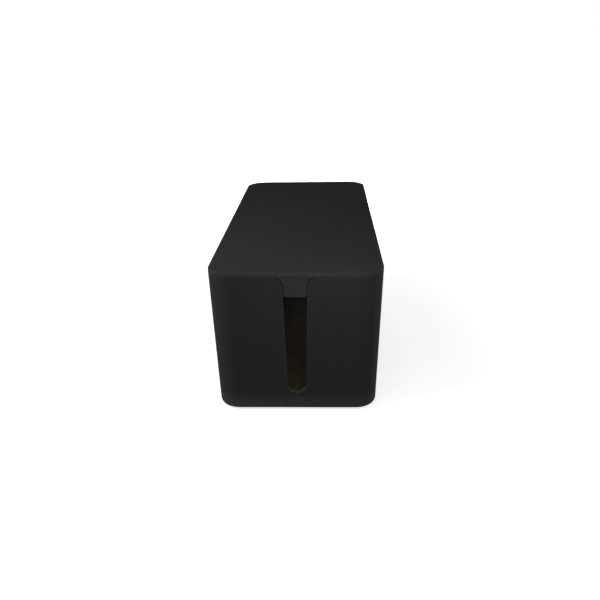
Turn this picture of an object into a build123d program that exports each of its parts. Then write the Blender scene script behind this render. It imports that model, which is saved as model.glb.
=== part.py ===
from build123d import *

import os
from math import cos, radians, sin, tan

# Cable management box: a deep moulded tub with a tapered U-slot in each end wall, a lift-off
# lid whose tongues drop into the mouths of the slots, and four rubber feet set into the base.
#
# Millimetres. The box is long along Y and stands on z = 0, with the origin under its centre.
# Tub and lid share one outline at the rim, and the tub's walls close in below it.

# ---- Tub ----
WIDTH = 157.0             # along X, at the rim
LENGTH = 407.0            # along Y, at the rim
CORNER_RADIUS = 24.5      # upright corners in plan, at the rim
TUB_HEIGHT = 130.5        # underside of the base to the rim
DRAFT = 2.35              # degrees by which every wall leans in towards the base
WALL = 3.0
FLOOR = 3.0
BASE_RADIUS = 5.5         # outer edge round the base
INNER_BASE_RADIUS = 3.5   # inner edge round the floor
EDGE_RADIUS = 0.8         # rim and slot edges, on the outside
INNER_EDGE_CHAMFER = 0.5  # the same edges on the inside

# ---- Cable slots, one in each end wall ----
SLOT_BOTTOM = 18.5        # underside of the base to the lowest point of the slot
SLOT_END_RADIUS = 8.4     # round lower end
SLOT_SPREAD = 1.43        # degrees by which each side leans outwards going up
SLOT_MOUTH_RADIUS = 8.5   # flare from the slot's sides into the rim

# ---- Lid ----
LID_EDGE = 4.0            # height of the visible band above the rim
LID_PLATE = 2.8           # thickness inside the lip
LID_TOP_RADIUS = 1.0
LID_SEAM_CHAMFER = 0.4    # lower outer edge, beside the rim
LIP_DEPTH = 6.0           # how far the locating lip reaches below the rim
LIP_THICKNESS = 2.0
LIP_CLEARANCE = 0.5       # to the tub's walls, all round
LIP_LEAD_IN = 0.8         # chamfer that guides the lip into the tub

# ---- Tongues of the lid, one in each slot ----
TONGUE_DEPTH = 18.0       # reach below the rim
TONGUE_THICKNESS = 3.0
TONGUE_RECESS = 0.9       # set back from the outline at the rim
TONGUE_GAP = 0.35         # to the slot's sides and flare
TONGUE_CORNER_RADIUS = 2.0
TONGUE_EDGE_CHAMFER = 0.3
GUSSET_THICKNESS = 1.5    # two upright gussets stiffen each tongue from behind
GUSSET_SPACING = 12.0     # between their middles
GUSSET_REACH = 8.0        # inwards from the tongue's back, under the plate
GUSSET_STOP = 4.0         # ends above the tongue's tip

# ---- Feet ----
FOOT_DIAMETER = 14.0
FOOT_THICKNESS = 2.0
FOOT_SEAT_DEPTH = 1.5     # recess in the base
FOOT_SEAT_CLEARANCE = 0.25
FOOT_INSET = 18.0         # foot centre to the outline of the base
FOOT_CHAMFER = 0.5

# ---- Levels and places that follow ----
BASE_Z = FOOT_THICKNESS - FOOT_SEAT_DEPTH
RIM_Z = BASE_Z + TUB_HEIGHT
SLOT_END_Z = BASE_Z + SLOT_BOTTOM + SLOT_END_RADIUS
TIP_Z = RIM_Z - TONGUE_DEPTH
POCKET_Z = RIM_Z + LID_EDGE - LID_PLATE
LEAN = tan(radians(DRAFT))
BASE_INSET = TUB_HEIGHT * LEAN
LIP_INSET = WALL + LIP_CLEARANCE
SLOT_LEAN = tan(radians(SLOT_SPREAD))
SLOT_TOP_HALF = SLOT_END_RADIUS / cos(radians(SLOT_SPREAD)) + (RIM_Z - SLOT_END_Z) * SLOT_LEAN
MOUTH_HALF = SLOT_TOP_HALF + SLOT_MOUTH_RADIUS
MARGIN = 1.0              # by which a cutter stands clear of what it cuts


def outline(inset):
    """The rim's outline in plan, moved inwards by inset."""
    return RectangleRounded(WIDTH - 2 * inset, LENGTH - 2 * inset, CORNER_RADIUS - inset)


def drafted_plug(inset, depth):
    """A solid under the rim's outline, moved inwards by inset, that closes in as the walls do."""
    upside_down = extrude(outline(inset), depth, taper=DRAFT)
    return Pos(0, 0, RIM_Z) * Rot(180, 0, 0) * upside_down


def slot_profile():
    """A tapered U that flares out into the rim, with a block above the rim. Its Y is the box's Z."""
    spread = radians(SLOT_SPREAD)
    tangent_x = SLOT_END_RADIUS * cos(spread)
    tangent_z = SLOT_END_Z - SLOT_END_RADIUS * sin(spread)
    sides = Polygon(
        (tangent_x, tangent_z),
        (SLOT_TOP_HALF, RIM_Z),
        (-SLOT_TOP_HALF, RIM_Z),
        (-tangent_x, tangent_z),
        align=None,
    )
    end = Pos(0, SLOT_END_Z) * Circle(SLOT_END_RADIUS)
    block = Rectangle(2 * (MOUTH_HALF + MARGIN), LID_EDGE, align=(Align.CENTER, Align.MIN))
    profile = sides + end + Pos(0, RIM_Z) * block
    at_rim = profile.vertices().filter_by_position(Axis.Y, RIM_Z, RIM_Z)
    by_distance = sorted(at_rim, key=lambda vertex: abs(vertex.X))
    return fillet(by_distance[:2], SLOT_MOUTH_RADIUS)


def rim_and_slot_edges(tub):
    """The outer and the inner edges of the rim and of both slots."""
    rim = tub.edges().filter_by_position(Axis.Z, RIM_Z, RIM_Z)
    slots = tub.edges().filter_by_position(Axis.X, -MOUTH_HALF, MOUTH_HALF)
    slots = slots.filter_by_position(Axis.Z, BASE_Z + SLOT_BOTTOM, RIM_Z)
    across_the_wall = slots.filter_by(Axis.Y)
    edges = [edge for edge in rim + slots if edge not in across_the_wall]
    mid_wall = drafted_plug(WALL / 2, TUB_HEIGHT)
    below = Vector(0, 0, WALL / 2)
    inner = [edge for edge in edges if mid_wall.is_inside(edge @ 0.5 - below)]
    outer = [edge for edge in edges if edge not in inner]
    return outer, inner


def foot_places():
    """Node name and plan position of each foot."""
    x = WIDTH / 2 - BASE_INSET - FOOT_INSET
    y = LENGTH / 2 - BASE_INSET - FOOT_INSET
    return {
        "foot_front_left": (-x, -y),
        "foot_front_right": (x, -y),
        "foot_rear_left": (-x, y),
        "foot_rear_right": (x, y),
    }


def make_tub():
    """Drafted shell, open at the top, slotted at both ends, with a seat for each foot."""
    outside = drafted_plug(0, TUB_HEIGHT)
    outside = fillet(outside.edges().group_by(Axis.Z)[0], BASE_RADIUS)
    inside = drafted_plug(WALL, TUB_HEIGHT - FLOOR)
    inside = fillet(inside.edges().group_by(Axis.Z)[0], INNER_BASE_RADIUS)
    slots = extrude(Plane.XZ * slot_profile(), LENGTH / 2 + MARGIN, both=True)
    tub = outside - inside - slots
    outer, inner = rim_and_slot_edges(tub)
    tub = chamfer(inner, INNER_EDGE_CHAMFER)
    outer, inner = rim_and_slot_edges(tub)
    tub = fillet(outer, EDGE_RADIUS)
    seat = Cylinder(
        FOOT_DIAMETER / 2 + FOOT_SEAT_CLEARANCE,
        FOOT_SEAT_DEPTH,
        align=(Align.CENTER, Align.CENTER, Align.MIN),
    )
    for x, y in foot_places().values():
        tub -= Pos(x, y, BASE_Z) * seat
    return tub


def make_tongue():
    """The front tongue with its gussets: the slot's own outline, kept clear of it by the gap."""
    window = Rectangle(2 * MOUTH_HALF, POCKET_Z - TIP_Z, align=(Align.CENTER, Align.MIN))
    profile = offset(slot_profile(), -TONGUE_GAP) & Pos(0, TIP_Z) * window
    profile = fillet(profile.vertices().group_by(Axis.Y)[0], TONGUE_CORNER_RADIUS)
    front_y = -LENGTH / 2 + TONGUE_RECESS
    back_y = front_y + TONGUE_THICKNESS
    tongue = Pos(0, front_y, 0) * extrude(Plane.XZ * profile, -TONGUE_THICKNESS)
    face = tongue.faces().sort_by(Axis.Y)[0]
    seen = [edge for edge in face.edges() if edge.center().Z < RIM_Z]
    tongue = chamfer(seen, TONGUE_EDGE_CHAMFER)
    side = Polygon(
        (back_y, TIP_Z + GUSSET_STOP),
        (back_y, POCKET_Z),
        (back_y + GUSSET_REACH, POCKET_Z),
        align=None,
    )
    gusset = extrude(Plane.YZ * side, GUSSET_THICKNESS / 2, both=True)
    for x in (-GUSSET_SPACING / 2, GUSSET_SPACING / 2):
        tongue += Pos(x, 0, 0) * gusset
    return tongue


def make_lid():
    """Flush plate that rests on the rim, with a locating lip below it and a tongue at each end."""
    band = Pos(0, 0, RIM_Z) * extrude(outline(0), LID_EDGE)
    band = fillet(band.edges().group_by(Axis.Z)[-1], LID_TOP_RADIUS)
    band = chamfer(band.edges().group_by(Axis.Z)[0], LID_SEAM_CHAMFER)
    lip = drafted_plug(LIP_INSET, LIP_DEPTH)
    lip = chamfer(lip.edges().group_by(Axis.Z)[0], LIP_LEAD_IN)
    hollow = extrude(outline(LIP_INSET + LIP_THICKNESS), POCKET_Z - RIM_Z + LIP_DEPTH)
    hollow = Pos(0, 0, RIM_Z - LIP_DEPTH) * hollow
    tongue = make_tongue()
    return band + lip - hollow + tongue + Rot(0, 0, 180) * tongue


def make_foot():
    """Rubber disc that stands proud of its seat in the base."""
    disc = Cylinder(FOOT_DIAMETER / 2, FOOT_THICKNESS, align=(Align.CENTER, Align.CENTER, Align.MIN))
    return chamfer(disc.edges().group_by(Axis.Z)[0], FOOT_CHAMFER)


os.makedirs("parts", exist_ok=True)
export_step(make_tub(), "parts/tub.step")
export_step(make_lid(), "parts/lid.step")
for name, (foot_x, foot_y) in foot_places().items():
    export_step(Pos(foot_x, foot_y, 0) * make_foot(), f"parts/{name}.step")
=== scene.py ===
from math import pi, radians, tan

import bpy
from mathutils import Matrix, Vector


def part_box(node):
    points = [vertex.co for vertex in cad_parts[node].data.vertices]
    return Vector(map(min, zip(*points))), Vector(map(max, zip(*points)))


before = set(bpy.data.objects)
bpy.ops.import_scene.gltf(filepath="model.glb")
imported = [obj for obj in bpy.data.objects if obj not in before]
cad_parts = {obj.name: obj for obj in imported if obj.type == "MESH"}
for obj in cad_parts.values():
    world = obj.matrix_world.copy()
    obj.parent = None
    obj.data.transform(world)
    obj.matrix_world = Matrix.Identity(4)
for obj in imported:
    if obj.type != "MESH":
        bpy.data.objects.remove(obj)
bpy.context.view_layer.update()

# ---- Camera, in the part's own frame ----
IMAGE_SIZE = 600              # pixels, both ways
SENSOR_WIDTH = 36.0           # millimetres
FOCAL_PIXELS = 714.87
CAMERA_PLACE = (0.02704, -0.78577, 0.32797)
CAMERA_YAW = -0.03896         # radians, to the left where negative
CAMERA_PITCH = 0.35644        # radians below level
CAMERA_ROLL = -0.01768

# ---- Light: a level is what a lamp or the surroundings add to a white surface facing them ----
LIGHT_CENTRE = (0.0, -0.05, 0.08)
WORLD_LEVEL = 0.12
FLOOR_SIZE = 60.0
FLOOR_COLOUR = 0.8
FLOOR_LIFT = 0.68             # added beside the box, where the floor is seen directly
FAR_FLOOR_LIFT = 1.0          # the same beyond the lamps' reach
LAMPS_FULL = 0.39             # metres from the box's middle up to which lamps fully light the floor
LAMPS_REACH = 1.3             # metres from there beyond which they hardly do
LAMPS = (
    # name, place, width and height, level
    ("lamp_left", (-1.19, -0.05, 0.20), (0.5, 0.5), 0.47),
    ("lamp_right", (1.00, 0.50, 0.13), (0.2, 0.2), 0.60),
    ("lamp_front_left", (-0.30, -0.25, 0.45), (0.3, 0.3), 0.54),
    ("lamp_front_right", (0.20, -0.40, 0.20), (0.15, 0.15), 0.10),
    ("lamp_front_edge", (0.03, -0.29, 0.19), (0.1, 0.1), 0.10),
    ("lamp_behind", (0.03, 1.15, 0.085), (0.14, 0.08), 0.44),
    ("lamp_behind_low", (0.05, 0.75, 0.108), (0.18, 0.05), 0.25),
)

# ---- Sizes of the box that its materials follow, in metres ----
MM = 0.001
HALF_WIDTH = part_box("lid")[1].x
HALF_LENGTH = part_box("lid")[1].y
BASE_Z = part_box("tub")[0].z
RIM_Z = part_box("tub")[1].z
TOP_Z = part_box("lid")[1].z
CORNER_RADIUS = 24.5 * MM
LEAN = tan(radians(2.35))     # of every wall of the tub
WALL = 3 * MM
SLOT_RADIUS = 8.4 * MM        # of the slots' round lower ends
SLOT_CENTRE_Z = BASE_Z + 26.9 * MM
SLOT_END_Z = SLOT_CENTRE_Z - SLOT_RADIUS
SLOT_LEAN = tan(radians(1.43))
FLOOR_Z = BASE_Z + WALL       # of the tub's floor, inside

# ---- Where one look turns into the next: depths in the outline, then heights ----
WALL_FADE = (0.5 * WALL, 0.85 * WALL)                 # from the outer skin to the inner
PAST_WALL_FADE = (1.1 * WALL, 1.4 * WALL)
OUTLINE_FADE = (0.4 * MM, 1.6 * MM)                   # inwards from an outer edge that rubbing and a painted highlight lighten
SLOT_EDGE_FADE = (0.4 * MM, 1.4 * MM)                 # inwards from a slot's outer edge
BESIDE_SLOT_FADE = (0.8 * MM, 1.4 * MM)               # away from a slot's outline
ALONG_EDGE_FADE = (0.3 * MM, 1.3 * MM)                # up and down from an outer edge that rubbing and a painted highlight lighten
BASE_FADE = (BASE_Z + 0.3 * WALL, BASE_Z + 0.7 * WALL)
PLATE_FADE = (TOP_Z - 2.4 * MM, TOP_Z - 1.2 * MM)
PAINTED_BOUNCE_FADE = (BASE_Z + 2 * MM, BASE_Z + 20 * MM)      # up the foot of the walls, where light bounced from the floor is painted in
DUST_AND_PAINTED_LIGHT_FADE = (FLOOR_Z + 1 * MM, FLOOR_Z + 6 * MM)      # up from the tub's floor, where dust and painted light lie
WORN_AND_HIGHLIT_END_FADE = (SLOT_END_Z + 2 * MM, SLOT_END_Z + 9 * MM)
MOUTH_FADE = (RIM_Z - 14 * MM, RIM_Z - 10 * MM)       # to the slots' flare, where no cable rubs and no highlight is painted

BUMP_STRENGTH = 0.6           # of every texture

# ---- Plastic ----
TUB_COLOUR = (0.0244, 0.0243, 0.0239)
LID_COLOUR = (0.0312, 0.0312, 0.0311)
# Lighter and warmer than the outer plastic: painted light for the dim inside seen through the
# slots.
INSIDE_COLOUR = (0.034, 0.032, 0.028)
DUST_AND_PAINTED_LIGHT_COLOUR = (0.095, 0.068, 0.031)     # on the tub's floor: dust, made a lighter brown to paint in the light seen there through the slot
TUB_GLOSS = 0.02              # specular level: the texture kills nearly all of it
LID_GLOSS = 0.012
GRAIN = 0.28 * MM             # size of the spark-eroded texture
MOTTLE = 3.5 * MM             # size of the next coarser unevenness, and so on
SMUDGE = 22 * MM
CLOUD = 60 * MM
GRAIN_SPREAD = 0.07           # share by which each of them makes the colour lighter or darker
MOTTLE_SPREAD = 0.03
CLOUD_SPREAD = 0.02
ROUGHNESS = (0.92, 0.97)      # from the sleekest smudges to the dullest
RELIEF = 0.02 * MM            # height of the texture outside
MOTTLE_RELIEF = 0.5           # the mottle's height as a share of the grain's
INSIDE_RELIEF = 0.3           # height inside as a share of the height outside
INSIDE_POLISH = 0.10          # roughness that the inside lacks
RUBBING_AND_PAINTED_HIGHLIGHT = 0.25                # share by which rubbing and a painted highlight lighten edges
RUBBED_POLISH = 0.12          # roughness that it has taken off
PAINTED_BOUNCE_LIGHT = 0.95                  # share by which painted light, bounced from the floor, lightens the walls' foot
SLOT_WEAR_AND_HIGHLIGHT = 0.75              # share by which cables have worn, and a painted highlight lightens, the slots' lower ends and sides

# ---- Rubber ----
RUBBER_COLOUR = (0.022, 0.022, 0.022)
DUSTY_RUBBER_COLOUR = (0.0418, 0.0418, 0.0418)
RUBBER_GLOSS = 0.25
RUBBER_ROUGHNESS = (0.84, 0.95)
PORE = 0.5 * MM
PORE_DEPTH = 0.04 * MM
DUST_PATCH = 4 * MM


# ---- Nodes ----
def add(tree, kind, inputs, **settings):
    """A shader node with its settings made and its inputs linked or set."""
    made = tree.nodes.new("ShaderNode" + kind)
    for name, value in settings.items():
        setattr(made, name, value)
    for name, value in inputs.items():
        if isinstance(value, bpy.types.NodeSocket):
            tree.links.new(value, made.inputs[name])
        else:
            made.inputs[name].default_value = value
    return made


def calc(tree, operation, *values):
    return add(tree, "Math", dict(enumerate(values)), operation=operation).outputs[0]


def ramp(tree, value, low, high, to_low=0.0, to_high=1.0):
    """value eased from to_low, at low and under it, to to_high at high and over it."""
    limits = {
        "Value": value,
        "From Min": low,
        "From Max": high,
        "To Min": to_low,
        "To Max": to_high,
    }
    return add(tree, "MapRange", limits, interpolation_type="SMOOTHSTEP").outputs["Result"]


def fade(tree, value, low, high):
    """1 at low and under it, eased to 0 at high and over it."""
    return ramp(tree, value, low, high, 1.0, 0.0)


def product(tree, *factors):
    result = factors[0]
    for factor in factors[1:]:
        result = calc(tree, "MULTIPLY", result, factor)
    return result


def lightened(tree, mask, share):
    """1 where mask is 0, and 1 + share where it is 1."""
    return calc(tree, "MULTIPLY_ADD", mask, share, 1.0)


def varied(tree, texture, spread):
    """A factor about 1 that strays from it by up to spread, as texture strays from 0.5."""
    return ramp(tree, texture, 0.3, 0.7, 1.0 - spread, 1.0 + spread)


def noise(tree, place, size, detail, roughness, seed):
    """Noise about 0.5 with features about size metres across."""
    inputs = {
        "Vector": place,
        "W": seed,
        "Scale": 1 / size,
        "Detail": detail,
        "Roughness": roughness,
    }
    return add(tree, "TexNoise", inputs, noise_dimensions="4D").outputs[0]


def mix(tree, factor, first, second, blend_type="MIX"):
    """Two colours mixed. The colour sockets of a Mix node can only be told apart by number."""
    made = tree.nodes.new("ShaderNodeMix")
    made.data_type = "RGBA"
    made.blend_type = blend_type
    for socket, value in ((0, factor), (6, first), (7, second)):
        if isinstance(value, bpy.types.NodeSocket):
            tree.links.new(value, made.inputs[socket])
        elif socket:
            made.inputs[socket].default_value = (*value, 1)
        else:
            made.inputs[socket].default_value = value
    return made.outputs[2]


def depth_in_outline(tree, x, y, z):
    """How far a point lies inside the outer walls, which lean up to the rim and stand above it."""
    past_x = calc(tree, "SUBTRACT", calc(tree, "ABSOLUTE", x), HALF_WIDTH - CORNER_RADIUS)
    past_y = calc(tree, "SUBTRACT", calc(tree, "ABSOLUTE", y), HALF_LENGTH - CORNER_RADIUS)
    corner = {"X": calc(tree, "MAXIMUM", past_x, 0.0), "Y": calc(tree, "MAXIMUM", past_y, 0.0)}
    corner = add(tree, "CombineXYZ", corner).outputs[0]
    outwards = add(tree, "VectorMath", {0: corner}, operation="LENGTH").outputs["Value"]
    inwards = calc(tree, "MINIMUM", calc(tree, "MAXIMUM", past_x, past_y), 0.0)
    distance = calc(tree, "ADD", outwards, inwards)
    below_rim = calc(tree, "MAXIMUM", calc(tree, "SUBTRACT", RIM_Z, z), 0.0)
    inset = calc(tree, "MULTIPLY", below_rim, LEAN)
    return calc(tree, "SUBTRACT", calc(tree, "SUBTRACT", CORNER_RADIUS, distance), inset)


def outside_slot(tree, x, z):
    """How far a point lies outside the outline of the cable slots, seen along the box."""
    up = calc(tree, "SUBTRACT", z, SLOT_CENTRE_Z)
    below = add(tree, "CombineXYZ", {"X": x, "Y": calc(tree, "MINIMUM", up, 0.0)}).outputs[0]
    radius = add(tree, "VectorMath", {0: below}, operation="LENGTH").outputs["Value"]
    spread = calc(tree, "MULTIPLY", calc(tree, "MAXIMUM", up, 0.0), SLOT_LEAN)
    return calc(tree, "SUBTRACT", calc(tree, "SUBTRACT", radius, SLOT_RADIUS), spread)


def inside_mask(tree, z, depth):
    """1 on the inner faces of tub and lid, and 0 on the outer ones."""
    past_skin = ramp(tree, depth, *WALL_FADE)
    above_base = ramp(tree, z, *BASE_FADE)
    below_plate = fade(tree, z, *PLATE_FADE)
    return product(tree, past_skin, above_base, below_plate)


def edge_mask(tree, z, depth, edge_z, beside_slot, wear_and_highlight):
    """1 along the outer edge at height edge_z, and wear_and_highlight along the slots below their
    flare: where rubbing lightens and polishes the plastic and a painted highlight lightens it.
    """
    from_edge = calc(tree, "ABSOLUTE", calc(tree, "SUBTRACT", z, edge_z))
    at_height = fade(tree, from_edge, *ALONG_EDGE_FADE)
    at_outline = product(tree, at_height, fade(tree, depth, *OUTLINE_FADE))
    slot_edge = product(tree, beside_slot, fade(tree, depth, *SLOT_EDGE_FADE))
    below_mouth = ramp(tree, z, *MOUTH_FADE, wear_and_highlight, 0.0)
    return calc(tree, "MAXIMUM", at_outline, product(tree, slot_edge, below_mouth))


def worn_and_highlit_end_mask(tree, z, depth, beside_slot, wear_and_highlight):
    """wear_and_highlight in the slots' round lower ends, where cables lie and a highlight is
    painted, and 0 elsewhere.
    """
    in_wall = fade(tree, depth, *PAST_WALL_FADE)
    at_end = ramp(tree, z, *WORN_AND_HIGHLIT_END_FADE, wear_and_highlight, 0.0)
    return product(tree, beside_slot, in_wall, at_end)


def new_material(name):
    material = bpy.data.materials.new(name)
    material.use_nodes = True
    material.node_tree.nodes.clear()
    return material, material.node_tree


def finish_material(tree, body, rough, gloss, bump):
    settings = {
        "Base Color": body,
        "Roughness": rough,
        "Specular IOR Level": gloss,
        "Normal": bump.outputs[0],
    }
    surface = add(tree, "BsdfPrincipled", settings)
    add(tree, "OutputMaterial", {"Surface": surface.outputs[0]})


def make_plastic(name, colour, gloss, seed, edge_z, wear_and_highlight=0.0):
    """Textured black plastic, a little smoother inside, worn by rubbing at its edges and lightened
    there by a painted highlight, lightened up the walls' foot by painted light bounced from the
    floor, and dusty on the tub's floor and lightened there by painted light.
    """
    material, tree = new_material(name)
    place = add(tree, "TexCoord", {}).outputs["Object"]
    x, y, z = add(tree, "SeparateXYZ", {0: place}).outputs
    depth = depth_in_outline(tree, x, y, z)
    inside = inside_mask(tree, z, depth)
    beside_slot = fade(tree, outside_slot(tree, x, z), *BESIDE_SLOT_FADE)

    # Noise stays mostly between 0.3 and 0.7, so the ramps that read it start and end about there.
    grain = noise(tree, place, GRAIN, 1.5, 0.6, seed)
    mottle = noise(tree, place, MOTTLE, 3.0, 0.6, seed + 1)
    cloud = noise(tree, place, CLOUD, 3.0, 0.5, seed + 2)
    smudge = noise(tree, place, SMUDGE, 5.0, 0.65, seed + 3)

    at_edge = edge_mask(tree, z, depth, edge_z, beside_slot, wear_and_highlight)
    # Rubbing, together with a painted highlight, along the outer edges and the slots' sides.
    rubbed_and_highlit = product(tree, at_edge, ramp(tree, mottle, 0.35, 0.65, 0.35, 1.0))
    # Worn by cables, and lightened by a painted highlight, at the slots' lower ends.
    worn_and_highlit_end = worn_and_highlit_end_mask(tree, z, depth, beside_slot, wear_and_highlight)
    # Painted light: the foot of the walls lightened in blotches, as if lit from the floor.
    at_foot = fade(tree, z, *PAINTED_BOUNCE_FADE)
    painted_bounce = product(tree, at_foot, ramp(tree, smudge, 0.3, 0.7, 0.7, 1.1))

    shade = product(
        tree,
        varied(tree, grain, GRAIN_SPREAD),
        varied(tree, mottle, MOTTLE_SPREAD),
        varied(tree, cloud, CLOUD_SPREAD),
        lightened(tree, rubbed_and_highlit, RUBBING_AND_PAINTED_HIGHLIGHT),
        lightened(tree, painted_bounce, PAINTED_BOUNCE_LIGHT),
        lightened(tree, worn_and_highlit_end, 1.0),
    )
    shade = add(tree, "CombineColor", {"Red": shade, "Green": shade, "Blue": shade}).outputs[0]
    # Dust on the tub's floor, made lighter as painted light for what is seen through the slots.
    low_inside = fade(tree, z, *DUST_AND_PAINTED_LIGHT_FADE)
    dusty = product(tree, low_inside, ramp(tree, smudge, 0.25, 0.6, 0.9, 1.0))
    lining = mix(tree, dusty, INSIDE_COLOUR, DUST_AND_PAINTED_LIGHT_COLOUR)
    body = mix(tree, inside, colour, lining)
    body = mix(tree, 1.0, body, shade, "MULTIPLY")

    rough = ramp(tree, smudge, 0.35, 0.7, *ROUGHNESS)
    rough = calc(tree, "MULTIPLY_ADD", rubbed_and_highlit, -RUBBED_POLISH, rough)
    rough = calc(tree, "MULTIPLY_ADD", inside, -INSIDE_POLISH, rough)

    height = calc(tree, "MULTIPLY_ADD", mottle, MOTTLE_RELIEF, grain)
    lower_inside = calc(tree, "MULTIPLY_ADD", inside, INSIDE_RELIEF - 1.0, 1.0)
    height = product(tree, height, lower_inside)
    bump = add(tree, "Bump", {"Height": height, "Distance": RELIEF, "Strength": BUMP_STRENGTH})
    finish_material(tree, body, rough, gloss, bump)
    return material


def make_rubber(name):
    """Dark moulded rubber with a little dust in its pores."""
    material, tree = new_material(name)
    place = add(tree, "TexCoord", {}).outputs["Object"]
    pores = noise(tree, place, PORE, 3.0, 0.6, 11.0)
    dust = noise(tree, place, DUST_PATCH, 4.0, 0.6, 12.0)
    dusty = ramp(tree, dust, 0.45, 0.75, 0.0, 0.5)
    body = mix(tree, dusty, RUBBER_COLOUR, DUSTY_RUBBER_COLOUR)
    rough = ramp(tree, dust, 0.35, 0.7, *RUBBER_ROUGHNESS)
    bump = add(tree, "Bump", {"Height": pores, "Distance": PORE_DEPTH, "Strength": BUMP_STRENGTH})
    finish_material(tree, body, rough, RUBBER_GLOSS, bump)
    return material


def dress(node, material):
    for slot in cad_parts[node].material_slots:
        slot.material = material


# ---- Camera, floor and light ----
def make_camera():
    data = bpy.data.cameras.new("camera")
    data.sensor_width = SENSOR_WIDTH
    data.lens = SENSOR_WIDTH * FOCAL_PIXELS / IMAGE_SIZE
    camera = bpy.data.objects.new("camera", data)
    turn = (
        Matrix.Rotation(-CAMERA_YAW, 4, "Z")
        @ Matrix.Rotation(radians(90) - CAMERA_PITCH, 4, "X")
        @ Matrix.Rotation(CAMERA_ROLL, 4, "Z")
    )
    camera.matrix_world = Matrix.Translation(CAMERA_PLACE) @ turn
    bpy.context.scene.collection.objects.link(camera)
    bpy.context.scene.camera = camera


def seen_directly(tree):
    """1 for rays from the camera and those that gloss or glass sends on, 0 for the rest."""
    path = add(tree, "LightPath", {}).outputs
    either = calc(tree, "MAXIMUM", path["Is Camera Ray"], path["Is Glossy Ray"])
    return calc(tree, "MAXIMUM", either, path["Is Transmission Ray"])


def make_floor():
    """Pale floor that comes out white where it is seen directly and keeps the box's shadow."""
    mesh = bpy.data.meshes.new("floor")
    half = FLOOR_SIZE / 2
    corners = [(-half, -half, 0), (half, -half, 0), (half, half, 0), (-half, half, 0)]
    mesh.from_pydata(corners, [], [(0, 1, 2, 3)])
    floor = bpy.data.objects.new("floor", mesh)
    bpy.context.scene.collection.objects.link(floor)
    material, tree = new_material("floor_paper")
    paper = add(tree, "BsdfDiffuse", {"Color": (FLOOR_COLOUR, FLOOR_COLOUR, FLOOR_COLOUR, 1)})
    place = add(tree, "TexCoord", {}).outputs["Object"]
    away = add(tree, "VectorMath", {0: place}, operation="LENGTH").outputs["Value"]
    lift = ramp(tree, away, LAMPS_FULL, LAMPS_REACH, FLOOR_LIFT, FAR_FLOOR_LIFT)
    lift = calc(tree, "MULTIPLY", seen_directly(tree), lift)
    glow = add(tree, "Emission", {"Strength": lift})
    both = add(tree, "AddShader", {0: paper.outputs[0], 1: glow.outputs[0]})
    add(tree, "OutputMaterial", {"Surface": both.outputs[0]})
    mesh.materials.append(material)


def make_world():
    """Even surroundings that add a little light all round and are white where seen directly."""
    world = bpy.data.worlds.new("studio")
    bpy.context.scene.world = world
    world.use_nodes = True
    tree = world.node_tree
    tree.nodes.clear()
    level = {"Value": seen_directly(tree), "To Min": WORLD_LEVEL, "To Max": 1.0}
    level = add(tree, "MapRange", level).outputs["Result"]
    sky = add(tree, "Background", {"Color": (1, 1, 1, 1), "Strength": level})
    add(tree, "OutputWorld", {"Surface": sky.outputs[0]})


def make_lamp(name, place, size, level):
    """Soft lamp aimed at the box, with the power that gives level at LIGHT_CENTRE."""
    way = Vector(LIGHT_CENTRE) - Vector(place)
    data = bpy.data.lights.new(name, "AREA")
    data.shape = "RECTANGLE"
    data.size, data.size_y = size
    data.energy = level * pi ** 2 * way.length_squared
    lamp = bpy.data.objects.new(name, data)
    turn = way.to_track_quat("-Z", "Y").to_matrix().to_4x4()
    lamp.matrix_world = Matrix.Translation(place) @ turn
    lamp.visible_camera = False
    bpy.context.scene.collection.objects.link(lamp)


make_camera()
make_floor()
make_world()
for lamp_row in LAMPS:
    make_lamp(*lamp_row)

dress("tub", make_plastic("tub_plastic", TUB_COLOUR, TUB_GLOSS, 0.0, RIM_Z, SLOT_WEAR_AND_HIGHLIGHT))
dress("lid", make_plastic("lid_plastic", LID_COLOUR, LID_GLOSS, 5.0, TOP_Z))
rubber = make_rubber("foot_rubber")
for node_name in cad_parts:
    if node_name.startswith("foot_"):
        dress(node_name, rubber)

bpy.context.scene.view_settings.view_transform = "Standard"
